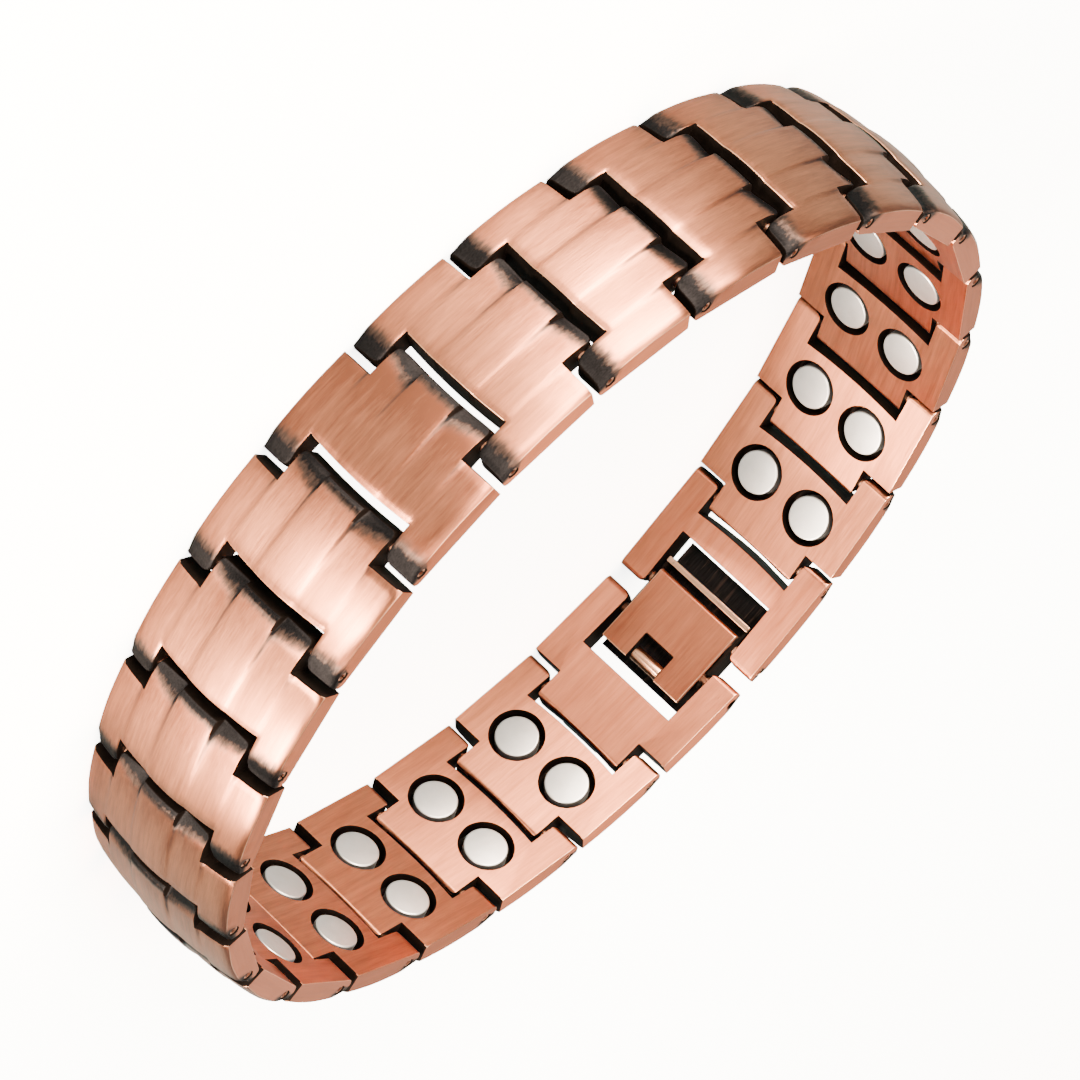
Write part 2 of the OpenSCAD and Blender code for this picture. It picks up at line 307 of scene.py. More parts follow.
def block_from_grid(bm, height_at, underside, plan_corners, flat_run):
    """Thickens the sheet to a link. Its ends are rounded beyond the flat run, if it has one."""
    top = bmesh.ops.extrude_face_region(bm, geom=bm.faces[:])
    top_verts = {g for g in top["geom"] if isinstance(g, bmesh.types.BMVert)}
    for v in bm.verts:
        v.co.y = 3.0 if v in top_verts else underside
    for level in (underside + 0.12, underside + 0.28, underside + end_radius):
        if flat_run:
            bmesh.ops.bisect_plane(
                bm, geom=bm.verts[:] + bm.edges[:] + bm.faces[:], plane_co=(0, level, 0), plane_no=(0, 1, 0)
            )
    top_verts = {v for v in bm.verts if v.co.y > 2.9}
    for v in top_verts:
        v.co.y = height_at(v.co.x, v.co.z)
    bmesh.ops.recalc_face_normals(bm, faces=bm.faces)
    low_faces = [
        f for f in bm.faces
        if f.normal.y < -0.99 and all(abs(v.co.y - underside) < 1e-5 for v in f.verts)
        and (not flat_run or flat_run[0] < f.calc_center_median().x < flat_run[1])
    ]
    bmesh.ops.dissolve_faces(bm, faces=low_faces, use_verts=False)
    for corner_s, corner_z, inward_s, radius in plan_corners:
        for side in (-1, 1):
            inward_z = (1 if corner_z > half_tongue + 0.1 else -1) * side
            round_corner(bm.verts, (corner_s, corner_z * side), (inward_s, inward_z), radius, (0, 2))
    if flat_run:
        back, front = min(v.co.x for v in bm.verts), max(v.co.x for v in bm.verts)
        round_corner(bm.verts, (back, underside), (1, 1), end_radius, (0, 1))
        round_corner(bm.verts, (front, underside), (-1, 1), end_radius, (0, 1))
    for v in bm.verts:
        bow = plan_bow * (1 - (v.co.z / half_notch) ** 2)
        if flat_run and abs(v.co.z) < half_notch - 0.01 and v.co.x > bow_front:
            v.co.x -= bow * smooth_step(bow_front, tongue_tip, v.co.x)
        elif flat_run and abs(v.co.z) < half_notch - 0.01 and notch_floor - 0.01 < v.co.x < bow_back:
            v.co.x -= bow * (1 - smooth_step(notch_floor, bow_back, v.co.x))
    bm.normal_update()
    for f in bm.faces:
        f.smooth = True
        outer_side = all(abs(abs(v.co.z) - half_width) < 1e-4 for v in f.verts)
        f.material_index = FACE if not is_upright(f) else SIDE if outer_side else JOINT
    sharp = [e for e in sharp_edges(bm, sharp_angle) if sorted(map(is_upright, e.link_faces)) == [False, True]]
    # Eased edges beside the joints go black; those at the notch and on the outer sides take the lighter rim copper,
    # partly a painted highlight.
    for f in ease(bm, sharp, rim_width):
        middle = f.calc_center_median()
        notch_rim = middle.y > 0.3 and abs(middle.z) < half_notch - 0.2 and middle.x < deep_notch_floor + 0.3
        side_rim = abs(middle.z) > half_width - 0.2
        f.material_index = JOINT if flat_run and not (notch_rim or side_rim) else RIM
        f.smooth = True
    return bm


def object_from(bm, name):
    mesh = bpy.data.meshes.new(name)
    bm.to_mesh(mesh)
    bm.free()
    return bpy.data.objects.new(name, mesh)


def carve(base, tool, operation):
    """base cut by tool, or joined with it, as a new bmesh. Both scratch objects are removed."""
    for o in (base, tool):
        bpy.context.scene.collection.objects.link(o)
    cut = base.modifiers.new("cut", "BOOLEAN")
    cut.operation = operation
    cut.solver = "EXACT"
    cut.object = tool
    done = bpy.data.meshes.new_from_object(base.evaluated_get(bpy.context.evaluated_depsgraph_get()))
    bm = bmesh.new()
    bm.from_mesh(done)
    bpy.data.meshes.remove(done)
    for o in (base, tool):
        mesh = o.data
        bpy.data.objects.remove(o)
        bpy.data.meshes.remove(mesh)
    return bm


def add_round(bm, centre, axis, radius, length, material, segments):
    """A closed round bar in a link's frame, along the axis, with its middle at centre."""
    made = bmesh.ops.create_cone(
        bm, cap_ends=True, cap_tris=False, segments=segments, radius1=radius, radius2=radius, depth=length
    )
    turn = {"Z": Matrix.Identity(3), "Y": Matrix.Rotation(-math.pi / 2, 3, "X")}[axis]
    bmesh.ops.rotate(bm, verts=made["verts"], cent=(0, 0, 0), matrix=turn)
    bmesh.ops.translate(bm, verts=made["verts"], vec=centre)
    for f in {f for v in made["verts"] for f in v.link_faces}:
        f.material_index = material
        f.smooth = True


def pin_bores(bm, places):
    for s in places:
        add_round(bm, (s, 0, 0), "Z", bore_radius, link_width + 2, JOINT, 32)


def magnet_wells(bm):
    well_radius, well_depth = 2.1, 1.3
    # The wells' walls take the joint black: partly oxide, partly painted shade in the gap round each magnet.
    for side in (-1, 1):
        centre = (magnet_forward, -inner_depth + well_depth / 2 - 0.5, side * magnet_apart / 2)
        add_round(bm, centre, "Y", well_radius, well_depth + 1, JOINT, 64)


z_half = [0, 0.6, 1.2, 1.52, 1.61, 1.7, 1.79, 1.88, 2.3, 2.8, 3.3, 3.85, 3.98, 4.08, half_tongue, 4.3,
          half_notch, 4.6, 4.8, 5.05, 5.6, 6.1, 6.5, half_width]
z_lines = [-z for z in z_half[:0:-1]] + z_half
ear_s_lines = [ear_back, -0.8, -0.6, flat_back, -0.2, 0.1, 0.4, 0.8, 1.25]
tongue_s_lines = [shoulder, 7.3, 7.7, 8.0, 8.25, 8.5, 8.7, flat_front, 9.1, 9.24, 9.37, tongue_tip]
link_s_lines = [*ear_s_lines, notch_floor, 1.8, 1.95, 2.15, bow_back, 3.2, 3.9, 4.7, 5.5, 6.2, *tongue_s_lines]
link_corners = [(ear_back, half_notch, 1, 0.6), (tongue_tip, half_tongue, -1, 0.5)]


def magnet_link_mesh():
    sheet = flat_grid(
        link_s_lines, z_lines,
        lambda s, z: (s < notch_floor and z < half_notch) or (s > shoulder and z > half_tongue),
    )
    blank = block_from_grid(sheet, link_height, -inner_depth, link_corners, (flat_back, flat_front))
    tools = bmesh.new()
    pin_bores(tools, (0, link_pitch))
    magnet_wells(tools)
    return carve(object_from(blank, "link_blank"), object_from(tools, "link_drills"), "DIFFERENCE")


def link_patina_and_shade(s, h, z):
    """How black the copper is at a place on a link: 0 clean, 1 black. The ends are patina; the creases are partly
    patina, partly painted shade.
    """
    z = abs(z)
    if h < -0.3:
        return 0.0
    reach = 0.75 if z < 1.7 else 1.55 - 0.75 * (z - 1.7) / (half_tongue - 1.7)
    end = smooth_step(tongue_tip - 1.7 * reach, tongue_tip - 0.05, s) if z < half_tongue + 0.01 else 0.0
    ear = 1 - smooth_step(-0.7, 1.5, s) if z > half_notch - 0.01 else 0.0
    # Along the middle crease, and the side crease beside the tongue: partly patina, partly painted shade in the
    # creases.
    crease = math.exp(-((z - middle_crease) / 0.13) ** 2) * (
        0.3 * smooth_step(4.0, 7.0, s) + 0.75 * smooth_step(7.3, 8.5, s)
    )
    beside_tongue = smooth_step(4.2, 6.9, s) * (1 - smooth_step(6.9, 7.3, s))
    corner = 0.45 * math.exp(-((z - side_crease) / 0.10) ** 2) * beside_tongue
    return min(1.0, max(end, ear, crease, corner))


def link_painted_shade(s, h, z):
    """Painted shade: how much deeper the copper is drawn towards the tongue and the ears."""
    if h < -0.3:
        return 0.0
    return 0.75 * smooth_step(4.0, 9.3, s) + 0.5 * (1 - smooth_step(0.0, 3.0, s))


def new_material(name, colour, roughness, metallic=1.0):
    material = bpy.data.materials.new(name)
    material.use_nodes = True
    shader = material.node_tree.nodes["Principled BSDF"]
    shader.inputs["Base Color"].default_value = (*colour, 1)
    shader.inputs["Roughness"].default_value = roughness
    shader.inputs["Metallic"].default_value = metallic
    return material, shader


def new_group(name, inputs, outputs):
    """An empty node group with named float or vector sockets."""
    group = bpy.data.node_groups.new(name, "ShaderNodeTree")
    kinds = {"f": "NodeSocketFloat", "v": "NodeSocketVector"}
    for label, kind, value in inputs:
        socket = group.interface.new_socket(name=label, in_out="INPUT", socket_type=kinds[kind])
        socket.default_value = value
    for label, kind in outputs:
        group.interface.new_socket(name=label, in_out="OUTPUT", socket_type=kinds[kind])
    return group, group.nodes.new("NodeGroupInput"), group.nodes.new("NodeGroupOutput")


def math_node(tree, operation, a, b, clamp=False):
    node = tree.nodes.new("ShaderNodeMath")
    node.operation = operation
    node.use_clamp = clamp
    for socket, value in zip(node.inputs, (a, b)):
        if isinstance(value, (int, float)):
            socket.default_value = value
        else:
            tree.links.new(value, socket)
    return node.outputs[0]


def vector_node(tree, operation, a, b):
    node = tree.nodes.new("ShaderNodeVectorMath")
    node.operation = operation
    for socket, value in zip(node.inputs, (a, b)):
        if isinstance(value, (tuple, list)):
            socket.default_value = value
        else:
            tree.links.new(value, socket)
    return node.outputs[0]


def noise_node(tree, place, scale, detail, roughness=0.5):
    node = tree.nodes.new("ShaderNodeTexNoise")
    node.inputs["Scale"].default_value = scale
    node.inputs["Detail"].default_value = detail
    node.inputs["Roughness"].default_value = roughness
    tree.links.new(place, node.inputs["Vector"])
    return node.outputs["Fac"]


def mix_node(tree, amount, a, b):
    node = tree.nodes.new("ShaderNodeMix")
    node.data_type = "RGBA"
    for index, value in ((0, amount), (6, a), (7, b)):
        if isinstance(value, (tuple, int, float)):
            node.inputs[index].default_value = value
        else:
            tree.links.new(value, node.inputs[index])
    return node.outputs[2]


# Brushed grain: fine and broad streaks drawn out along a link, from its own place attribute in mm
grain_group, grain_in, grain_out = new_group(
    "brushed_grain",
    [("Place", "v", (0, 0, 0)), ("Stretch", "f", 0.07), ("Fineness", "f", 11.0)],
    [("Fine", "f"), ("Streak", "f"), ("Broad", "f")],
)
stretch = grain_group.nodes.new("ShaderNodeCombineXYZ")
grain_group.links.new(grain_in.outputs["Stretch"], stretch.inputs[0])
stretch.inputs[1].default_value = 1
stretch.inputs[2].default_value = 1
drawn = vector_node(grain_group, "MULTIPLY", grain_in.outputs["Place"], stretch.outputs[0])
fine_place = grain_group.nodes.new("ShaderNodeVectorMath")
fine_place.operation = "SCALE"
grain_group.links.new(drawn, fine_place.inputs[0])
grain_group.links.new(grain_in.outputs["Fineness"], fine_place.inputs["Scale"])
grain_group.links.new(noise_node(grain_group, fine_place.outputs[0], 1.0, 3, 0.6), grain_out.inputs["Fine"])
grain_group.links.new(noise_node(grain_group, drawn, 4.2, 3, 0.6), grain_out.inputs["Streak"])
grain_group.links.new(noise_node(grain_group, drawn, 1.3, 2, 0.5), grain_out.inputs["Broad"])

# Joint patina and painted crease shade: the black left on the copper near the joints, and the painted shade along the
# creases, with a streaked edge
patina_and_shade_group, patina_and_shade_in, patina_and_shade_out = new_group(
    "joint_patina_and_shade",
    [("Amount", "f", 0.0), ("Streak", "f", 0.5), ("Broad", "f", 0.5), ("Raggedness", "f", 0.75), ("Edge", "f", 1.1)],
    [("Mask", "f")],
)
ragged = math_node(
    patina_and_shade_group, "MULTIPLY", math_node(patina_and_shade_group, "SUBTRACT", patina_and_shade_in.outputs["Streak"], 0.5),
    patina_and_shade_in.outputs["Raggedness"],
)
uneven = math_node(
    patina_and_shade_group, "MULTIPLY", math_node(patina_and_shade_group, "SUBTRACT", patina_and_shade_in.outputs["Broad"], 0.5), 0.3
)
only_near = math_node(patina_and_shade_group, "MULTIPLY", patina_and_shade_in.outputs["Amount"], 4.0, clamp=True)
level = math_node(
    patina_and_shade_group, "ADD", patina_and_shade_in.outputs["Amount"],
    math_node(patina_and_shade_group, "MULTIPLY", math_node(patina_and_shade_group, "ADD", ragged, uneven), only_near),
)
sharper = math_node(
    patina_and_shade_group, "MULTIPLY", math_node(patina_and_shade_group, "SUBTRACT", level, 0.5), patina_and_shade_in.outputs["Edge"]
)
patina_and_shade_group.links.new(math_node(patina_and_shade_group, "ADD", sharper, 0.5, clamp=True), patina_and_shade_out.inputs["Mask"])


def group_node(tree, group, **values):
    node = tree.nodes.new("ShaderNodeGroup")
    node.node_tree = group
    for label, value in values.items():
        if isinstance(value, (int, float)):
            node.inputs[label].default_value = value
        else:
            tree.links.new(value, node.inputs[label])
    return node


def attribute_node(tree, name, output):
    node = tree.nodes.new("ShaderNodeAttribute")
    node.attribute_name = name
    return node.outputs[output]


scratch_depth = 0.00002
grain_step = 13.7


def brushed_copper(name, light, deep, roughness, grain_depth):
    """Brushed copper: streaked between two tones, blackened near the joints, with painted shade towards the link ends
    and along the creases.
    """
    material, shader = new_material(name, light, roughness)
    tree = material.node_tree
    place = attribute_node(tree, "link_place", "Vector")
    grain = group_node(tree, grain_group, Place=place)
    tone = math_node(
        tree, "ADD", math_node(tree, "MULTIPLY", grain.outputs["Fine"], 0.45),
        math_node(
            tree, "ADD", math_node(tree, "MULTIPLY", grain.outputs["Streak"], 0.75),
            math_node(tree, "MULTIPLY", grain.outputs["Broad"], 0.7),
        ),
    )
    tone = math_node(tree, "SUBTRACT", tone, 0.42)
    # Painted shade towards the link ends, and a per-link tone, deepen the copper.
    tone_and_shade = math_node(tree, "MULTIPLY", attribute_node(tree, "tone_and_shade", "Fac"), 0.55)
    tone = math_node(tree, "SUBTRACT", tone, tone_and_shade, clamp=True)
    colour = mix_node(tree, tone, (*deep, 1), (*light, 1))
    rough = math_node(
        tree, "ADD", math_node(tree, "MULTIPLY", grain.outputs["Fine"], 0.14), roughness - 0.07
    )
    # One mask blackens the copper: patina near the joints, painted shade along the creases.
    patina_and_shade = group_node(
        tree, patina_and_shade_group, Amount=attribute_node(tree, "patina_and_shade", "Fac"),
        Streak=grain.outputs["Streak"], Broad=grain.outputs["Broad"],
    )
    mask = patina_and_shade.outputs["Mask"]
    tarnish = mix_node(tree, grain.outputs["Fine"], (0.001, 0.001, 0.001, 1), (0.025, 0.024, 0.027, 1))
    browning = math_node(tree, "MULTIPLY", mask, 2.2, clamp=True)
    browned = mix_node(tree, browning, colour, (0.17, 0.105, 0.085, 1))
    blackness = math_node(tree, "MULTIPLY", math_node(tree, "SUBTRACT", mask, 0.12), 1.5, clamp=True)
    colour = mix_node(tree, blackness, browned, tarnish)
    rough = math_node(tree, "ADD", rough, math_node(tree, "MULTIPLY", mask, 0.22))
    tree.links.new(colour, shader.inputs["Base Color"])
    tree.links.new(rough, shader.inputs["Roughness"])
    bump = tree.nodes.new("ShaderNodeBump")
    bump.inputs["Strength"].default_value = grain_depth
    bump.inputs["Distance"].default_value = scratch_depth
    tree.links.new(grain.outputs["Fine"], bump.inputs["Height"])
    tree.links.new(bump.outputs["Normal"], shader.inputs["Normal"])
    shader.inputs["Anisotropic"].default_value = 0.75
    shader.inputs["Anisotropic Rotation"].default_value = 0.25
    tangent = tree.nodes.new("ShaderNodeTangent")
    tangent.direction_type = "UV_MAP"
    tangent.uv_map = "along_link"
    tree.links.new(tangent.outputs[0], shader.inputs["Tangent"])
    return material


link_copper = brushed_copper("brushed_copper", (0.88, 0.335, 0.185), (0.37, 0.125, 0.07), 0.34, 0.4)
# The eased edges take a lighter copper: partly rubbed bright, partly a painted highlight.
rim_copper = brushed_copper("rubbed_and_highlit_rim_copper", (0.95, 0.54, 0.36), (0.84, 0.42, 0.26), 0.30, 0.2)
side_copper = brushed_copper("side_copper", (0.72, 0.24, 0.12), (0.46, 0.14, 0.07), 0.40, 0.3)
joint_black, joint_shader = new_material("joint_black", (0.012, 0.010, 0.010), 0.6, 0.0)
joint_shader.inputs["Specular IOR Level"].default_value = 0.02
joint_tree = joint_black.node_tree
joint_grain = group_node(joint_tree, grain_group, Place=attribute_node(joint_tree, "link_place", "Vector"))
joint_tree.links.new(
    mix_node(joint_tree, joint_grain.outputs["Broad"], (0.001, 0.001, 0.001, 1), (0.009, 0.006, 0.005, 1)),
    joint_shader.inputs["Base Color"],
)
joint_tree.links.new(
    math_node(joint_tree, "ADD", math_node(joint_tree, "MULTIPLY", joint_grain.outputs["Fine"], 0.2), 0.42),
    joint_shader.inputs["Roughness"],
)


def dress(
    bm, name, number, materials, patina_and_shade_at, body, nodes,
    tone_and_shade_at=None, blackening=1.0, tone_and_shade_offset=0.0,
):
    """Puts a piece drawn in a link's frame at its place in the chain, with its attributes and finish."""
    for v in bm.verts:
        if not v.link_faces:
            bm.verts.remove(v)
    mesh = bpy.data.meshes.new(name)
    bm.to_mesh(mesh)
    local = [v.co.copy() for v in mesh.vertices]
    place = mesh.attributes.new("link_place", "FLOAT_VECTOR", "POINT")
    place.data.foreach_set("vector", [x for co in local for x in (co.x, co.z, co.y + grain_step * number)])
    # Patina near the joints, and painted shade along the creases, as an attribute.
    patina_and_shade = mesh.attributes.new("patina_and_shade", "FLOAT", "POINT")
    patina_and_shade.data.foreach_set("value", [blackening * patina_and_shade_at(co.x, co.y, co.z) for co in local])
    # Per-link tone and painted shade towards the link ends, as an attribute.
    tone_and_shade = mesh.attributes.new("tone_and_shade", "FLOAT", "POINT")
    tone_and_shade.data.foreach_set(
        "value", [tone_and_shade_offset + (tone_and_shade_at(co.x, co.y, co.z) if tone_and_shade_at else 0.25) for co in local]
    )
    along = mesh.uv_layers.new(name="along_link")
    for loop in mesh.loops:
        co = local[loop.vertex_index]
        along.data[loop.index].uv = (co.x * 0.08, (co.z + co.y) * 0.05)
    mesh.transform(chain_place(number))
    mesh.shade_smooth()
    mesh.set_sharp_from_angle(angle=math.radians(38))
    for material in materials:
        mesh.materials.append(material)
    piece = bpy.data.objects.new(name, mesh)
    bpy.context.scene.collection.objects.link(piece)
    flats = piece.modifiers.new("flat_faces", "WEIGHTED_NORMAL")
    flats.keep_sharp = True
    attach(piece, body)
    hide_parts(*nodes)


magnet_link = magnet_link_mesh()
for n in range(1, link_count + 1):
    # One link is drawn much darker: painted shade. The others differ a little in tone from link to link.
    link_tone_and_shade = 0.55 if n == 12 else 0.12 * math.sin(1.7 * n)
    worn = 0.24 * smooth_step(14.5, 17, n) * (1 - smooth_step(19, 21, n))
    dress(
        magnet_link, f"magnet_link_{n:02d}", n + 1, (link_copper, rim_copper, joint_black, side_copper),
        link_patina_and_shade, "bracelet", [f"link_{n:02d}"], link_painted_shade,
        1.06 + 0.08 * math.sin(2.3 * n) - worn, link_tone_and_shade,
    )
magnet_link.free()

# ---- Magnets ----
# Plated disc magnets, pressed and glued into the links' wells a little below the wrist side.
# Their rims are rounded and their faces are satin silver with faint turning marks and scuffs.
magnet_radius = 1.65
magnet_recess = 0.1
magnet_height = 1.17
magnet_silver, silver_shader = new_material("magnet_silver", (0.70, 0.69, 0.68), 0.42)
silver_tree = silver_shader.id_data
silver_place = attribute_node(silver_tree, "disc_place", "Vector")
silver_cloud = noise_node(silver_tree, silver_place, 0.9, 4, 0.6)
silver_scuff = noise_node(silver_tree, vector_node(silver_tree, "MULTIPLY", silver_place, (1.2, 14, 1)), 1.0, 3, 0.6)
silver_tree.links.new(
    mix_node(silver_tree, silver_cloud, (0.64, 0.66, 0.695, 1), (0.87, 0.90, 0.95, 1)),
    silver_shader.inputs["Base Color"],
)
silver_tree.links.new(
    math_node(silver_tree, "ADD", math_node(silver_tree, "MULTIPLY", silver_scuff, 0.25), 0.30),
    silver_shader.inputs["Roughness"],
)
silver_bump = silver_tree.nodes.new("ShaderNodeBump")
silver_bump.inputs["Strength"].default_value = 0.25
silver_bump.inputs["Distance"].default_value = scratch_depth
silver_tree.links.new(silver_scuff, silver_bump.inputs["Height"])
silver_tree.links.new(silver_bump.outputs["Normal"], silver_shader.inputs["Normal"])

disc = bmesh.new()
bmesh.ops.create_circle(disc, cap_ends=True, radius=magnet_radius, segments=72)
raised_disc = bmesh.ops.extrude_face_region(disc, geom=disc.faces[:])
bmesh.ops.translate(
    disc, verts=[v for v in raised_disc["geom"] if isinstance(v, bmesh.types.BMVert)], vec=(0, 0, magnet_height)
)
bmesh.ops.recalc_face_normals(disc, faces=disc.faces)
ease(disc, sharp_edges(disc), 0.13, 4)
bmesh.ops.rotate(disc, verts=disc.verts, cent=(0, 0, 0), matrix=Matrix.Rotation(-math.pi / 2, 3, "X"))
disc_mesh = bpy.data.meshes.new("magnet_disc")
disc.to_mesh(disc_mesh)
disc.free()
all_magnets = bmesh.new()
disc_places = []
for n in range(1, link_count + 1):
    for side in (-1, 1):
        before = len(all_magnets.verts)
        all_magnets.from_mesh(disc_mesh)
        all_magnets.verts.ensure_lookup_table()
        made = all_magnets.verts[before:]
        turn = 0.9 * n + 2.1 * side
        disc_places += [
            (v.co.x * math.cos(turn) - v.co.z * math.sin(turn) + 5 * n,
             v.co.x * math.sin(turn) + v.co.z * math.cos(turn) + 9 * side, v.co.y)
            for v in made
        ]
        to_link = Matrix.Translation((magnet_forward, -inner_depth + magnet_recess, side * magnet_apart / 2))
        bmesh.ops.transform(all_magnets, matrix=chain_place(n + 1) @ to_link, verts=made)
magnet_mesh = bpy.data.meshes.new("magnet_discs")
all_magnets.to_mesh(magnet_mesh)
all_magnets.free()
magnet_mesh.attributes.new("disc_place", "FLOAT_VECTOR", "POINT").data.foreach_set(
    "vector", [x for place in disc_places for x in place]
)
magnet_mesh.shade_smooth()
magnet_mesh.materials.append(magnet_silver)
bpy.data.meshes.remove(disc_mesh)
magnet_discs = bpy.data.objects.new("magnet_discs", magnet_mesh)
bpy.context.scene.collection.objects.link(magnet_discs)
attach(magnet_discs, "bracelet")
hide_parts("magnets")

# ---- Link pins ----
# Short tubes rolled from sheet, pushed through ears and tongue. They spring out against the
# bores, and their slit ends show as small C shapes in the side faces.
pin_radius = 0.38
pin_inner_radius = 0.2
pin_length = 13.34


def streaked_pin_metal(name, colour, roughness, deep, light, smoothest):
    """Drawn metal of a pin, streaked round it between two tones."""
    metal, shader = new_material(name, colour, roughness)
    tree = shader.id_data
    place = vector_node(tree, "MULTIPLY", attribute_node(tree, "link_place", "Vector"), (9, 0.4, 9))
    streak = noise_node(tree, place, 1.0, 3)
    tree.links.new(mix_node(tree, streak, (*deep, 1), (*light, 1)), shader.inputs["Base Color"])
    tree.links.new(
        math_node(tree, "ADD", math_node(tree, "MULTIPLY", streak, 0.2), smoothest), shader.inputs["Roughness"]
    )
    return metal


pin_copper = streaked_pin_metal(
    "pin_copper", (0.86, 0.46, 0.31), 0.32, (0.55, 0.22, 0.13), (0.95, 0.56, 0.40), 0.22
)


def rolled_pin(bm):
    """A slit tube along a link's pin line: a small sheet edge spun almost all the way round."""
    slit = math.radians(22)
    half = pin_length / 2
    corners = [
        bm.verts.new(Matrix.Rotation(slit / 2, 3, "Z") @ Vector((r, 0, z)))
        for r, z in ((pin_inner_radius, -half), (pin_radius - 0.05, -half), (pin_radius, -half + 0.05),
                     (pin_radius, half - 0.05), (pin_radius - 0.05, half), (pin_inner_radius, half))
    ]
    sheet_edge = bm.faces.new(corners)
    bmesh.ops.spin(
        bm, geom=[*corners, *sheet_edge.edges, sheet_edge], cent=(0, 0, 0), axis=(0, 0, 1),
        angle=2 * math.pi - slit, steps=28, use_merge=False,
    )
    bmesh.ops.recalc_face_normals(bm, faces=bm.faces)
    return bm


pin_mesh = bpy.data.meshes.new("rolled_pin")
one_pin = rolled_pin(bmesh.new())
one_pin.to_mesh(pin_mesh)
one_pin.free()
all_pins = bmesh.new()
pin_places = []
for number in range(2, len(pins)):
    before = len(all_pins.verts)
    all_pins.from_mesh(pin_mesh)
    all_pins.verts.ensure_lookup_table()
    made = all_pins.verts[before:]
    pin_places += [(v.co.x, v.co.z + grain_step * number, v.co.y) for v in made]
    turned = Matrix.Rotation(math.radians(200 + 31 * (number % 5)), 4, "Z")
    bmesh.ops.transform(all_pins, matrix=chain_place(number) @ turned, verts=made)
pins_mesh = bpy.data.meshes.new("link_pins")
all_pins.to_mesh(pins_mesh)
all_pins.free()
pins_mesh.attributes.new("link_place", "FLOAT_VECTOR", "POINT").data.foreach_set(
    "vector", [x for place in pin_places for x in place]
)
pins_mesh.shade_smooth()
pins_mesh.set_sharp_from_angle(angle=math.radians(30))
pins_mesh.materials.append(pin_copper)
rolled_pins = bpy.data.objects.new("rolled_link_pins", pins_mesh)
bpy.context.scene.collection.objects.link(rolled_pins)
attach(rolled_pins, "bracelet")
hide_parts("link_pins")

# ---- Plain end link ----
# The link that the clasp hooks into: the same casting without magnets and with a deeper notch,
# so that the closed cover lies between its ears. The catch pin crosses the notch.
end_s_lines = [*ear_s_lines, 1.8, 2.5, 3.3, deep_notch_floor, 4.7, 5.4, 6.2, *tongue_s_lines]
end_sheet = flat_grid(
    end_s_lines, z_lines,
    lambda s, z: (s < deep_notch_floor and z < half_notch) or (s > shoulder and z > half_tongue),
)
end_blank = block_from_grid(end_sheet, link_height, -inner_depth, link_corners, (flat_back, flat_front))
end_drills = bmesh.new()
pin_bores(end_drills, (0, link_pitch))
end_link = carve(object_from(end_blank, "end_blank"), object_from(end_drills, "end_drills"), "DIFFERENCE")
clasp_copper = brushed_copper("clasp_copper", (0.80, 0.30, 0.17), (0.42, 0.13, 0.07), 0.38, 0.4)
dress(
    end_link, "plain_end_link_piece", 1, (clasp_copper, rim_copper, joint_black, side_copper),
    link_patina_and_shade, "bracelet", ["plain_end_link"], link_painted_shade,
)
end_link.free()

# ---- Window end link ----
# The clasp's other end link: two ears behind, a crossbar, and two legs that carry the hinge
# pin with a window between them, through which the bridge's dark underside shows.
window_start = 3.5
leg_end = 8.45
leg_flat_front = 7.95
window_s_lines = [*ear_s_lines, notch_floor, 2.3, 2.9, window_start, 4.2, 5, 5.8, 6.5, 7.1, 7.5,
                  leg_flat_front, 8.1, 8.3, leg_end]
window_middle = (leg_end + ear_back) / 2


def window_patina(s, h, z):
    if h < -0.3 or abs(z) < half_notch - 0.01:
        return 0.0
    return max(1 - smooth_step(-0.5, 1.3, s), smooth_step(6.3, 8.1, s))


window_blank = block_from_grid(
    flat_grid(
        window_s_lines, z_lines,
        lambda s, z: z < half_notch and (s < notch_floor or s > window_start),
    ),
    lambda s, z: band_height(z) - arch_drop(s, window_middle) - ear_dip(s, z, ear_back, ear_slope)
    - ear_dip(leg_end - s, z, 0, ear_slope),
    -inner_depth,
    [(ear_back, half_notch, 1, 0.6), (leg_end, half_notch, -1, 0.6)],
    (flat_back, leg_flat_front),
)
window_drills = bmesh.new()
pin_bores(window_drills, (0, window_pitch))
window_link = carve(
    object_from(window_blank, "window_blank"), object_from(window_drills, "window_drills"), "DIFFERENCE",
)
dress(
    window_link, "window_end_link_piece", len(pins) - 1, (clasp_copper, rim_copper, joint_black, side_copper),
    window_patina, "bracelet", ["window_end_link"],
)
window_link.free()

# ---- Clasp bridge ----
# An outer plate banded like the links, soldered to two side walls on the hinge pin, a lip behind
# and a rolled catch in front. The walls' open slots drop over the catch pin when the clasp closes.
bridge_back, bridge_front = -3.75, 6.3
plate_underside = 1.04
wall_bottom, wall_front, wall_thickness = -0.6, 3.9, 0.22
slot_diagonal = 0.29
lip_back, lip_thickness, lip_bottom = -1.97, 0.44, -0.9
catch_s, catch_h, catch_radius, catch_width = 5.05, -0.45, 0.58, 2.6
bridge_middle = (bridge_back + bridge_front) / 2


def bridge_height(s, z):
    bevel = 0.28 * (1 - smooth_step(bridge_back, bridge_back + 0.8, s)) + 0.28 * smooth_step(
        bridge_front - 0.8, bridge_front, s
    )
    return max(plate_underside + 0.12, band_height(z) - arch_drop(s, bridge_middle) - bevel)


def bridge_patina_and_shade(s, h, z):
    """Black on the underside, the walls and the stem, and a little at the outer plate's two ends."""
    if abs(h - plate_underside) < 0.03:
        return 0.8
    if 0 < h < 1.1 and s < 4.3:
        return 1.0
    if h < plate_underside:
        return 0.0
    # Along the middle crease: partly patina, partly painted shade in the crease.
    crease = 0.5 * math.exp(-((abs(z) - middle_crease) / 0.13) ** 2) * smooth_step(3.5, 6.0, s)
    return max(crease, smooth_step(5.1, bridge_front, s), 1 - smooth_step(bridge_back, bridge_back + 0.75, s))


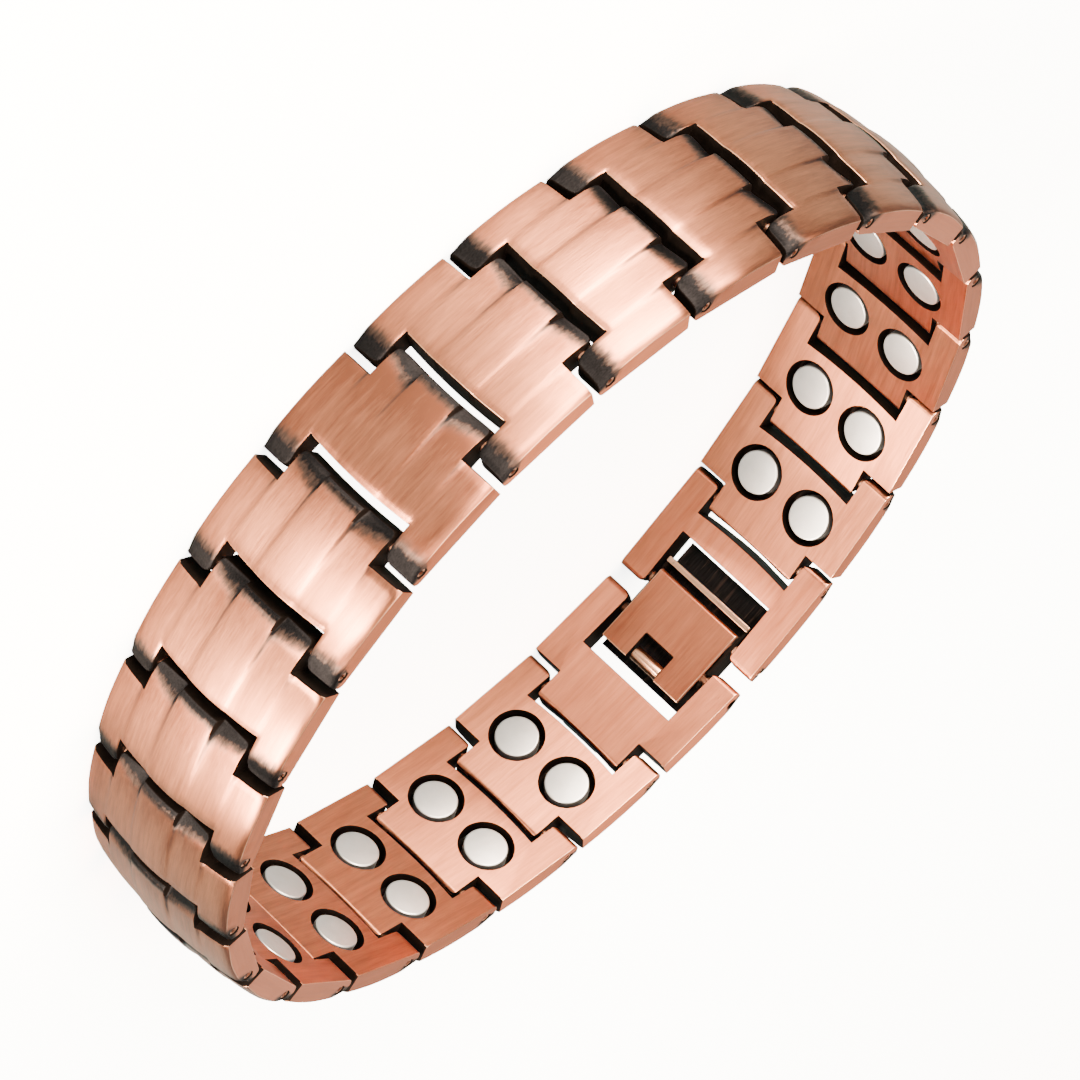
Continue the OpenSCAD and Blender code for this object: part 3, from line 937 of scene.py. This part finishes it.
def add_plate(bm, outline, low_z, high_z, material, rim, rounded=()):
    """A flat plate across the width, from a short outline (forward, outward), with eased edges."""
    part = bmesh.new()
    face = part.faces.new([part.verts.new((s, h, low_z)) for s, h in outline])
    grown = bmesh.ops.extrude_face_region(part, geom=[face])
    bmesh.ops.translate(
        part, verts=[v for v in grown["geom"] if isinstance(v, bmesh.types.BMVert)], vec=(0, 0, high_z - low_z)
    )
    bmesh.ops.recalc_face_normals(part, faces=part.faces)
    for (s, h), radius in rounded:
        long_edges = [
            e for e in part.edges
            if all(abs(v.co.x - s) < 1e-5 and abs(v.co.y - h) < 1e-5 for v in e.verts)
        ]
        ease(part, long_edges, radius, 6)
    for f in part.faces:
        f.material_index = material
    if rim:
        for f in ease(part, sharp_edges(part, sharp_angle), rim):
            f.material_index = RIM
    scratch = bpy.data.meshes.new("plate")
    part.to_mesh(scratch)
    part.free()
    bm.from_mesh(scratch)
    bpy.data.meshes.remove(scratch)


bridge_z_lines = [z for z in z_lines if abs(z) <= half_tongue + 1e-6]
bridge = block_from_grid(
    flat_grid(
        [bridge_back, -3.6, -3.4, -3.15, -2.9, -2.4, -1.6, -0.7, 0.3, 1.3, 2.2, 3.1, 4.0, 4.7, 5.3, 5.65,
         5.9, 6.15, bridge_front],
        bridge_z_lines, lambda s, z: False,
    ),
    bridge_height, plate_underside, [], None,
)
bridge.normal_update()
for f in bridge.faces:
    if f.normal.y < -0.9:
        f.material_index = FACE
half_bridge = half_tongue - 0.01
for side in (-1, 1):
    wall = bmesh.new()
    z_pair = sorted((side * half_bridge, side * (half_bridge - wall_thickness)))
    add_plate(
        wall,
        [(lip_back, wall_bottom), (bridge_pitch - bore_radius, wall_bottom), (bridge_pitch - bore_radius, 0.1),
         (bridge_pitch - slot_diagonal, slot_diagonal), (bridge_pitch, bore_radius),
         (bridge_pitch + slot_diagonal, slot_diagonal),
         (bridge_pitch + bore_radius, 0.1), (bridge_pitch + bore_radius, wall_bottom), (wall_front, wall_bottom),
         (wall_front, plate_underside + 0.1), (lip_back, plate_underside + 0.1)],
        z_pair[0], z_pair[1], JOINT, rim=0, rounded=[((wall_front, wall_bottom), 0.35)],
    )
    bridge = carve(object_from(bridge, "bridge_plate"), object_from(wall, "bridge_wall"), "UNION")
# The lip and the catch are drawn in the lighter rim copper: partly rubbed bright, partly a painted highlight.
lip_and_catch = bmesh.new()
add_plate(
    lip_and_catch,
    [(lip_back, lip_bottom), (lip_back + lip_thickness, lip_bottom), (lip_back + lip_thickness, plate_underside + 0.05),
     (lip_back, plate_underside + 0.05)],
    -half_bridge + 0.01, half_bridge - 0.01, RIM, rim=0.06,
)
bridge = carve(object_from(bridge, "bridge_walled"), object_from(lip_and_catch, "bridge_lip"), "UNION")
catch = bmesh.new()
add_round(catch, (catch_s, catch_h, 0), "Z", catch_radius, catch_width, RIM, 40)
for f in ease(catch, sharp_edges(catch), 0.08):
    f.material_index = RIM
bridge = carve(object_from(bridge, "bridge_lipped"), object_from(catch, "bridge_catch"), "UNION")
stem = bmesh.new()
add_plate(
    stem,
    [(catch_s - 0.02, catch_h), (catch_s + 0.48, catch_h), (catch_s + 0.48, plate_underside + 0.05),
     (catch_s - 0.02, plate_underside + 0.05)],
    -catch_width / 2 + 0.01, catch_width / 2 - 0.01, JOINT, rim=0,
)
bridge = carve(object_from(bridge, "bridge_caught"), object_from(stem, "catch_stem"), "UNION")
hinge_drill = bmesh.new()
add_round(hinge_drill, (0, 0, 0), "Z", bore_radius, link_width + 2, JOINT, 32)
bridge = carve(object_from(bridge, "bridge_solid"), object_from(hinge_drill, "hinge_drill"), "DIFFERENCE")
dress(
    bridge, "clasp_bridge_piece", 0, (clasp_copper, rim_copper, joint_black, side_copper),
    bridge_patina_and_shade, "bracelet", ["clasp_bridge"],
    # The lip's lower end is drawn much lighter: a painted highlight.
    lambda s, h, z: -0.7 if h < -0.5 and s < -1.4 else 0.1,
)
bridge.free()

# ---- Fold-over cover ----
# A flat plain lever stamped with a rolled knuckle that turns on the hinge pin. Closed, it stands a
# little proud of the wrist side, and its notch leaves room for the bridge's catch.
cover_reach, cover_back, cover_width, cover_face, cover_thickness = 5.7, 0.93, 7.8, 1.2, 0.37
notch_back, notch_half = 3.35, 1.45
knuckle_radius = 0.9
cover = bmesh.new()
add_plate(
    cover,
    [(-cover_back, -cover_face), (cover_reach, -cover_face), (cover_reach, -cover_face + cover_thickness),
     (0, -cover_face + cover_thickness), (0, 0), (-cover_back, 0)],
    -cover_width / 2, cover_width / 2, FACE, rim=0.08, rounded=[((-cover_back, -cover_face), 0.26)],
)
knuckle = bmesh.new()
add_round(knuckle, (0, 0, 0), "Z", knuckle_radius, cover_width, FACE, 64)
for f in ease(knuckle, sharp_edges(knuckle), 0.08):
    f.material_index = RIM
cover = carve(object_from(cover, "cover_leaf"), object_from(knuckle, "cover_knuckle"), "UNION")
cover_cuts = bmesh.new()
add_round(cover_cuts, (0, 0, 0), "Z", bore_radius, link_width + 2, JOINT, 32)
add_plate(
    cover_cuts,
    [(notch_back, -cover_face - 1), (cover_reach + 1, -cover_face - 1), (cover_reach + 1, 0.2), (notch_back, 0.2)],
    -notch_half, notch_half, JOINT, rim=0.12,
)
cover = carve(object_from(cover, "cover_joined"), object_from(cover_cuts, "cover_cutters"), "DIFFERENCE")
dress(
    cover, "fold_over_cover", 0, (clasp_copper, rim_copper, joint_black, side_copper),
    lambda s, h, z: 0.9 if h > -0.8 else 0.0,
    "cover", ["clasp_cover"],
    lambda s, h, z: 0.1 + 0.5 * smooth_step(2.5, 5.7, s) * (0.4 + 0.6 * smooth_step(1.2, 3.6, abs(z))),
)
cover.free()

# ---- Hinge pin ----
# The rolled pin through the window link's legs, the bridge's walls and the cover's knuckle.
# It is the same rolled tube as the link pins, on the line that the cover turns about.
hinge_bm = bmesh.new()
hinge_bm.from_mesh(pin_mesh)
bmesh.ops.rotate(hinge_bm, verts=hinge_bm.verts, cent=(0, 0, 0), matrix=Matrix.Rotation(2.2, 3, "Z"))
dress(hinge_bm, "rolled_hinge_pin", 0, (pin_copper,), lambda s, h, z: 0.0, "bracelet", ["hinge_pin"])
hinge_bm.free()
bpy.data.meshes.remove(pin_mesh)

# ---- Catch pin ----
# The solid pin across the plain end link's deep notch, sunk in its bores and drawn dark: painted shade for the deep
# holes its ends sit in.
# The bridge's slots hook over it, and the closed cover keeps it there.
catch_pin_recess = 0.8
catch_pin_bm = bmesh.new()
add_round(catch_pin_bm, (0, 0, 0), "Z", pin_radius, link_width - 2 * catch_pin_recess, FACE, 40)
for f in ease(catch_pin_bm, sharp_edges(catch_pin_bm), 0.08):
    f.smooth = True
dark_pin = streaked_pin_metal(
    "dark_pin", (0.10, 0.055, 0.04), 0.42, (0.04, 0.025, 0.02), (0.30, 0.14, 0.09), 0.32
)
dress(catch_pin_bm, "dark_catch_pin", 1, (dark_pin,), lambda s, h, z: 0.0, "bracelet", ["catch_pin"])
catch_pin_bm.free()
